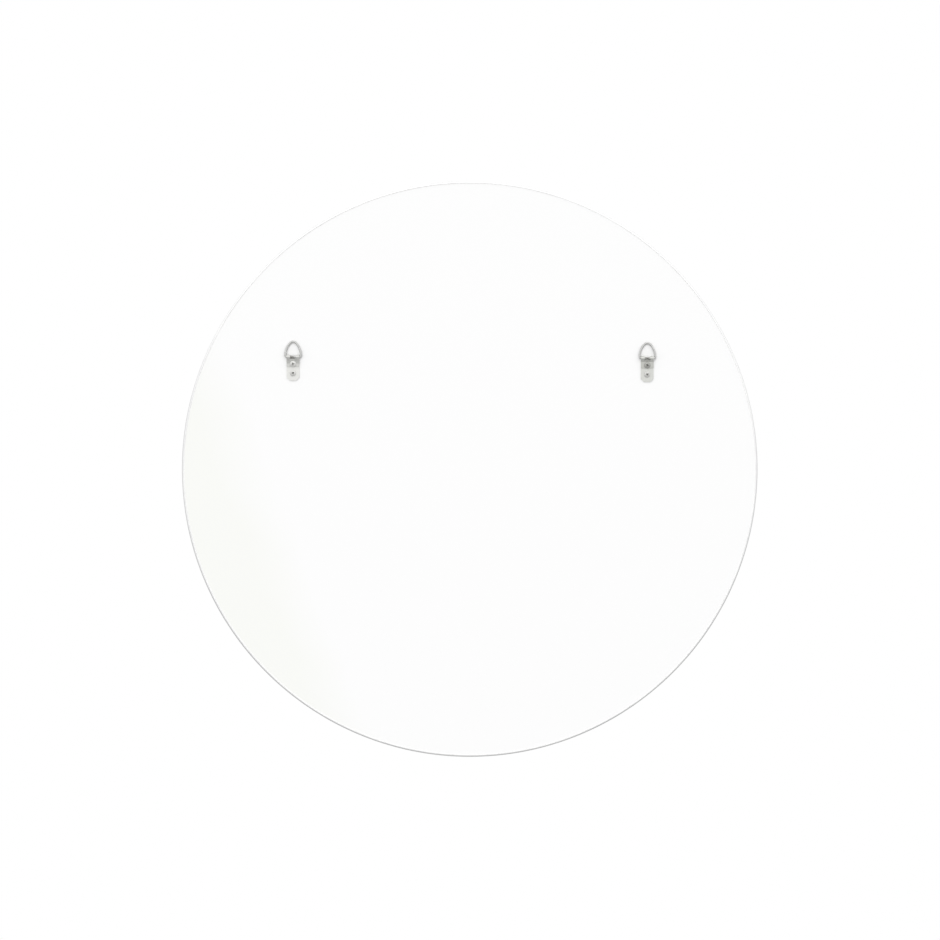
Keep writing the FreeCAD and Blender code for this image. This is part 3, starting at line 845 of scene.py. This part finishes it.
def build_strap(side, look):
    """Stamped blank with a window and three holes, folded over the bar."""
    node = f"hanger_strap_{side}"
    low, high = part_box(node)
    hinge = HINGES[side]
    drop = hinge.z - low.z
    marks, at = strap_path(drop, hinge.y - low.y)
    half = (high.x - low.x) / 2
    holes = [drop - LOWER_DROP, drop - UPPER_DROP, marks["seat"] + UPPER_DROP - FLAP_SEAT_DROP]
    outlines = [blank_outline(half, marks["end"])]
    outlines.append(window_outline(marks["bar"] - WINDOW_DROP, marks["window_end"]))
    outlines += [arc((0, s), SCREW_HOLE / 2, 0, 360, 32)[:-1] for s in holes]
    strap = flat_blank(f"strap_{side}", outlines, SHEET)
    count = int((marks["end"] - marks["bar"]) / BEND_STEP)
    steps = [marks["bar"] + (marks["end"] - marks["bar"]) * i / count for i in range(count)]
    cut_across(strap, steps + [marks["seat"]])
    # The fold and the flat flap get painted shade with the sheet's duller other face; the ramp, shaded by its
    # own slope, gets none
    dull_and_shade_end = marks["seat"] + FLAP_DULL_AND_SHADE_DROP[side] - FLAP_SEAT_DROP

    def dull_and_shade(p):
        """How much painted shade, with the sheet's duller other face, the flat sheet gets at a point, where
        p.y runs along it and over the fold.
        """
        if p.y < marks["fold_end"]:
            return min(FOLD_DULL_AND_SHADE[side], (p.y - marks["bar"]) / FLAP_FADE)
        leaving = 1 - (p.y - marks["fold_end"]) / FLAP_FADE
        flat = min(1.0, (p.y - marks["ramp_end"]) / FLAP_FADE)
        beyond = (p.y - dull_and_shade_end) / FLAP_DULL_AND_SHADE_FADE
        return max(FOLD_DULL_AND_SHADE[side] * leaving, min(flat, max(FLAP_DULL_AND_SHADE_END[side], 1 - beyond)))
    shade_points(strap, dull_and_shade)
    for vertex in strap.data.vertices:
        x, s, lift = vertex.co
        depth, height, way = at(s)
        out = Vector((0, -way[1], way[0]))
        centre = Vector((x, depth, height))
        vertex.co = Vector((hinge.x, low.y, hinge.z)) + centre + out * lift
    tidy_normals(strap, 40)
    finish_piece(strap, "mirror", look, node)


def ring_points(half_strap):
    """Middle line of the wire in the ring's own plane, bar on the x axis, top upwards."""
    bend = half_strap + RING_SIDE_PLAY
    half = bend + RING_CORNER
    top = RING_RISE - RING_TOP
    rise = top - RING_CORNER
    side = (half**2 + rise**2 - RING_TOP**2) / (2 * (half - RING_TOP))
    lean = math.degrees(math.atan2(rise, side - half))
    end = RING_GAP / 2
    bar_steps = 16
    points = [(end, 0), (end + WIRE_END_BREAK, 0)]
    points += [(end + i * (bend - end) / bar_steps, 0) for i in range(1, bar_steps)]
    points += arc((bend, RING_CORNER), RING_CORNER, -90, 0, 12)
    points += arc((half - side, RING_CORNER), side, 0, lean, 24)[1:]
    points += arc((0, top), RING_TOP, lean, 90, 14)[1:]
    return points + [(-x, y) for x, y in reversed(points[:-1])]


def build_ring(side, look):
    """Wire ring that leans on the board, its bar inside the fold."""
    node = f"hanger_ring_{side}"
    strap_low, strap_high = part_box(f"hanger_strap_{side}")
    hinge = HINGES[side]
    bar_height = hinge.y - strap_low.y
    lean = math.asin((bar_height - WIRE / 2 - RING_REST_GAP) / RING_RISE)
    points = [Vector((x, 0, z)) for x, z in ring_points((strap_high.x - strap_low.x) / 2)]
    ring = sweep(f"ring_{side}", points, Vector((0, 1, 0)), WIRE / 2)
    first, last = WINDOW_SHADE_SPAN[side]

    def window_shade(p):
        """Painted shade: 1 along the stretch of the bar inside the fold's window, fading out beside it."""
        return 1 - max(first - p.x, p.x - last, 0) / WINDOW_SHADE_FADE if p.z < WIRE else 0
    shade_points(ring, window_shade)
    turned(ring, Matrix.Translation(hinge) @ Matrix.Rotation(lean, 4, "X"))
    finish_piece(ring, f"ring_{side}", look, node)


def thread(name):
    """Helical ridge of a wood screw, fading out on its point."""
    per_turn = 24
    count = int((SCREW_LENGTH - THREAD_PLAIN) / THREAD_PITCH * per_turn)
    vertices = []
    faces = []
    for i in range(count + 1):
        y = -NECK - (i / per_turn) * THREAD_PITCH
        taper = min(1.0, (SCREW_LENGTH + y) / SCREW_POINT)
        turn = 2 * math.pi * i / per_turn
        spoke = Vector((math.cos(turn), 0, math.sin(turn)))
        root = spoke * max((SHANK / 2 - THREAD_DEPTH) * taper - THREAD_ROOT, ROOT_LEAST)
        crest = spoke * max(SHANK / 2 * taper, CREST_LEAST)
        for offset, reach in ((THREAD_HALF, root), (0, crest), (-THREAD_HALF, root)):
            vertices.append(reach + Vector((0, y + offset, 0)))
    for i in range(count):
        for k in range(3):
            m = (k + 1) % 3
            faces.append((i * 3 + k, i * 3 + m, i * 3 + 3 + m, i * 3 + 3 + k))
    faces += [(0, 1, 2), (count * 3 + 2, count * 3 + 1, count * 3)]
    return tidy_normals(mesh_object(name, vertices, faces), 30)


def screw_mesh(name, screw_shade):
    """One screw along Y with its head's underside at y = 0."""
    rise = HEAD_HEIGHT - HEAD_EDGE
    dome = ((HEAD / 2)**2 + rise**2) / (2 * rise)
    dome_middle = HEAD_HEIGHT - dome
    edge = math.degrees(math.asin(HEAD / 2 / dome))
    core = SHANK / 2 - THREAD_DEPTH
    side = HEAD / 2 - HEAD_ROUND
    section = [(0, HEAD_HEIGHT)]
    section += arc((0, dome_middle), dome, 90, 90 - edge, 14)[1:-1]
    section += arc((side, HEAD_EDGE - HEAD_ROUND / 2), HEAD_ROUND, 60, 0, 3)
    section += arc((side, HEAD_ROUND), HEAD_ROUND, 0, -90, 3)
    section += [(SHANK / 2, 0), (SHANK / 2, -NECK), (core, -NECK - THREAD_DEPTH)]
    section += [(core, SCREW_POINT - SCREW_LENGTH), (SCREW_TIP, SCREW_TIP - SCREW_LENGTH), (0, -SCREW_LENGTH)]
    screw = bake_modifiers(lathe(name, section, steps=64))
    blade_top = HEAD_HEIGHT + RECESS_CLEAR
    blade_depth = RECESS_DEPTH + RECESS_CLEAR
    for angle in (0, 90):
        blade = bake_modifiers(wedge("blade", RECESS_TOP, RECESS_FOOT, blade_depth, blade_top))
        carve(screw, turned(blade, Matrix.Rotation(math.radians(angle), 4, "Y")))

    def in_recess(p):
        """How much painted shade a point gets: the screw's own, raised in the recess by its depth below the
        head's dome.
        """
        if math.hypot(p.x, p.z) >= RECESS_TOP[0] / 2 + EDGE_BREAK or p.y <= 0:
            return screw_shade
        surface = dome_middle + math.sqrt(dome**2 - p.x**2 - p.z**2)
        return max(screw_shade, (surface - p.y) / RECESS_SHADE)
    shade_points(screw, in_recess)
    return screw


def build_screws(side, look):
    """The hanger's upper and lower screw, as one piece of two screws with their threads."""
    node = f"hanger_screws_{side}"
    board_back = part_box("backing_board")[1].y
    seats = (2 * SHEET + FLAP_GAP, SHEET)
    work = bmesh.new()
    for (x, z), seat, turn, screw_shade in zip(screw_places(side), seats, SCREW_TURNS[side], SCREW_PAINTED_SHADE[side]):
        ridge = bake_modifiers(thread("thread"))
        shade_points(ridge, lambda p: 0)
        for part in (screw_mesh("screw", screw_shade), ridge):
            rotation = Matrix.Rotation(math.radians(turn), 4, "Y")
            turned(part, Matrix.Translation((x, board_back + seat, z)) @ rotation)
            work.from_mesh(part.data)
            bpy.data.objects.remove(part)
    mesh = bpy.data.meshes.new(f"screws_{side}")
    work.to_mesh(mesh)
    work.free()
    screws = tidy_normals(link_mesh(f"screws_{side}", mesh), 35)
    finish_piece(screws, "mirror", look, node)


# ---------------------------------------------------------------- stage

def build_floor():
    """Pale floor under the mirror that fades out into the background."""
    height = CAD_BOX[0].z - FLOOR_DROP
    corners = [(-1, -1), (1, -1), (1, 1), (-1, 1)]
    vertices = [(x * FLOOR_SIZE, y * FLOOR_SIZE, height) for x, y in corners]
    floor = mesh_object("floor", vertices, [(0, 1, 2, 3)])
    made, shader, place = material("pale_floor", colour=(0.8, 0.8, 0.8), roughness=0.7)
    tree = made.node_tree
    pale = tint(tree, grain(tree, place, scale=6.0), first=(0.78, 0.78, 0.78), last=(0.8, 0.8, 0.8))
    tree.links.new(pale, shader.inputs["Base Color"])
    distance = tree.nodes.new("ShaderNodeVectorMath")
    distance.operation = "LENGTH"
    tree.links.new(stretched(tree, place, scale=(1, 1, 0)), distance.inputs[0])
    fade_from, fade_to = FLOOR_FADE
    shown = spread(tree, distance.outputs["Value"], low=1.0, high=0.0, first=fade_from, last=fade_to)
    tree.links.new(shown, shader.inputs["Alpha"])
    floor.data.materials.append(made)
    floor.visible_diffuse = False
    floor.visible_glossy = False


def build_world():
    """White background; what lights and reflects is brighter above than below, and behind the mirror."""
    world = bpy.data.worlds.new("studio")
    bpy.context.scene.world = world
    world.use_nodes = True
    tree = world.node_tree
    tree.nodes.clear()
    out = tree.nodes.new("ShaderNodeOutputWorld")
    place = tree.nodes.new("ShaderNodeTexCoord")
    split = tree.nodes.new("ShaderNodeSeparateXYZ")
    tree.links.new(place.outputs["Generated"], split.inputs[0])
    height = spread(tree, split.outputs["Z"], low=0.0, high=1.0, first=-1.0, last=1.0)
    ramp = tree.nodes.new("ShaderNodeValToRGB")
    ramp.color_ramp.elements[0].position = SKY[0][0]
    ramp.color_ramp.elements[1].position = SKY[-1][0]
    for position, _ in SKY[1:-1]:
        ramp.color_ramp.elements.new(position)
    for element, (_, level) in zip(ramp.color_ramp.elements, SKY):
        element.color = (level, level, level, 1)
    tree.links.new(height, ramp.inputs["Fac"])
    lit = tree.nodes.new("ShaderNodeBackground")
    weak, strong = SKY_STRENGTH
    start, full = SKY_TURNS
    strength = spread(tree, split.outputs["Y"], low=weak, high=strong, first=start, last=full)
    tree.links.new(strength, lit.inputs["Strength"])
    tree.links.new(ramp.outputs["Color"], lit.inputs["Color"])
    seen = tree.nodes.new("ShaderNodeBackground")
    seen.inputs["Color"].default_value = (1, 1, 1, 1)
    path = tree.nodes.new("ShaderNodeLightPath")
    mix = tree.nodes.new("ShaderNodeMixShader")
    tree.links.new(path.outputs["Is Camera Ray"], mix.inputs["Fac"])
    tree.links.new(lit.outputs[0], mix.inputs[1])
    tree.links.new(seen.outputs[0], mix.inputs[2])
    tree.links.new(mix.outputs[0], out.inputs["Surface"])


def add_sun(name, direction, strength, angle):
    """Soft light that comes from a direction, without a highlight of its own."""
    light = bpy.data.lights.new(name, "SUN")
    light.energy = strength
    light.angle = math.radians(angle)
    lamp = bpy.data.objects.new(name, light)
    lamp.rotation_mode = "QUATERNION"
    lamp.rotation_quaternion = Vector(direction).to_track_quat("Z", "Y")
    lamp.visible_glossy = False
    bpy.context.scene.collection.objects.link(lamp)


def build_camera():
    """Level long-lens view of the back, square on, with a hair of roll."""
    lens = 85.0
    sensor = 36.0
    width_seen = 0.9955
    roll = -0.22
    aim_x = -0.3 * MM
    aim_z = -1.15 * MM
    low, high = CAD_BOX
    data = bpy.data.cameras.new("camera")
    data.lens = lens
    data.sensor_width = sensor
    camera = bpy.data.objects.new("camera", data)
    rim_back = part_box("frame_rim")[1].y
    distance = width_seen * lens / sensor
    camera.location = ((low.x + high.x) / 2 + aim_x, rim_back + distance, (low.z + high.z) / 2 + aim_z)
    camera.rotation_euler = (math.radians(90), math.radians(roll), math.radians(180))
    bpy.context.scene.collection.objects.link(camera)
    bpy.context.scene.camera = camera


# ---------------------------------------------------------------- whole scene

build_rim()
build_board()
build_sealant()
build_glass()
build_adhesive()
tape_look = foam_tape()
for name, node in frame["nodes"].items():
    if name.startswith("tape_strip"):
        node.data.materials.clear()
        node.data.materials.append(tape_look)
wire_look = plated_wire()
screw_look = plated_screw()
for side in SIDES:
    build_strap(side, plated_sheet(side, *SHEET_TINTS[side]))
    build_ring(side, wire_look)
    build_screws(side, screw_look)

build_floor()
build_world()
add_sun("key", KEY_DIRECTION, KEY_STRENGTH, KEY_ANGLE)
build_camera()
bpy.context.scene.view_settings.view_transform = "Standard"
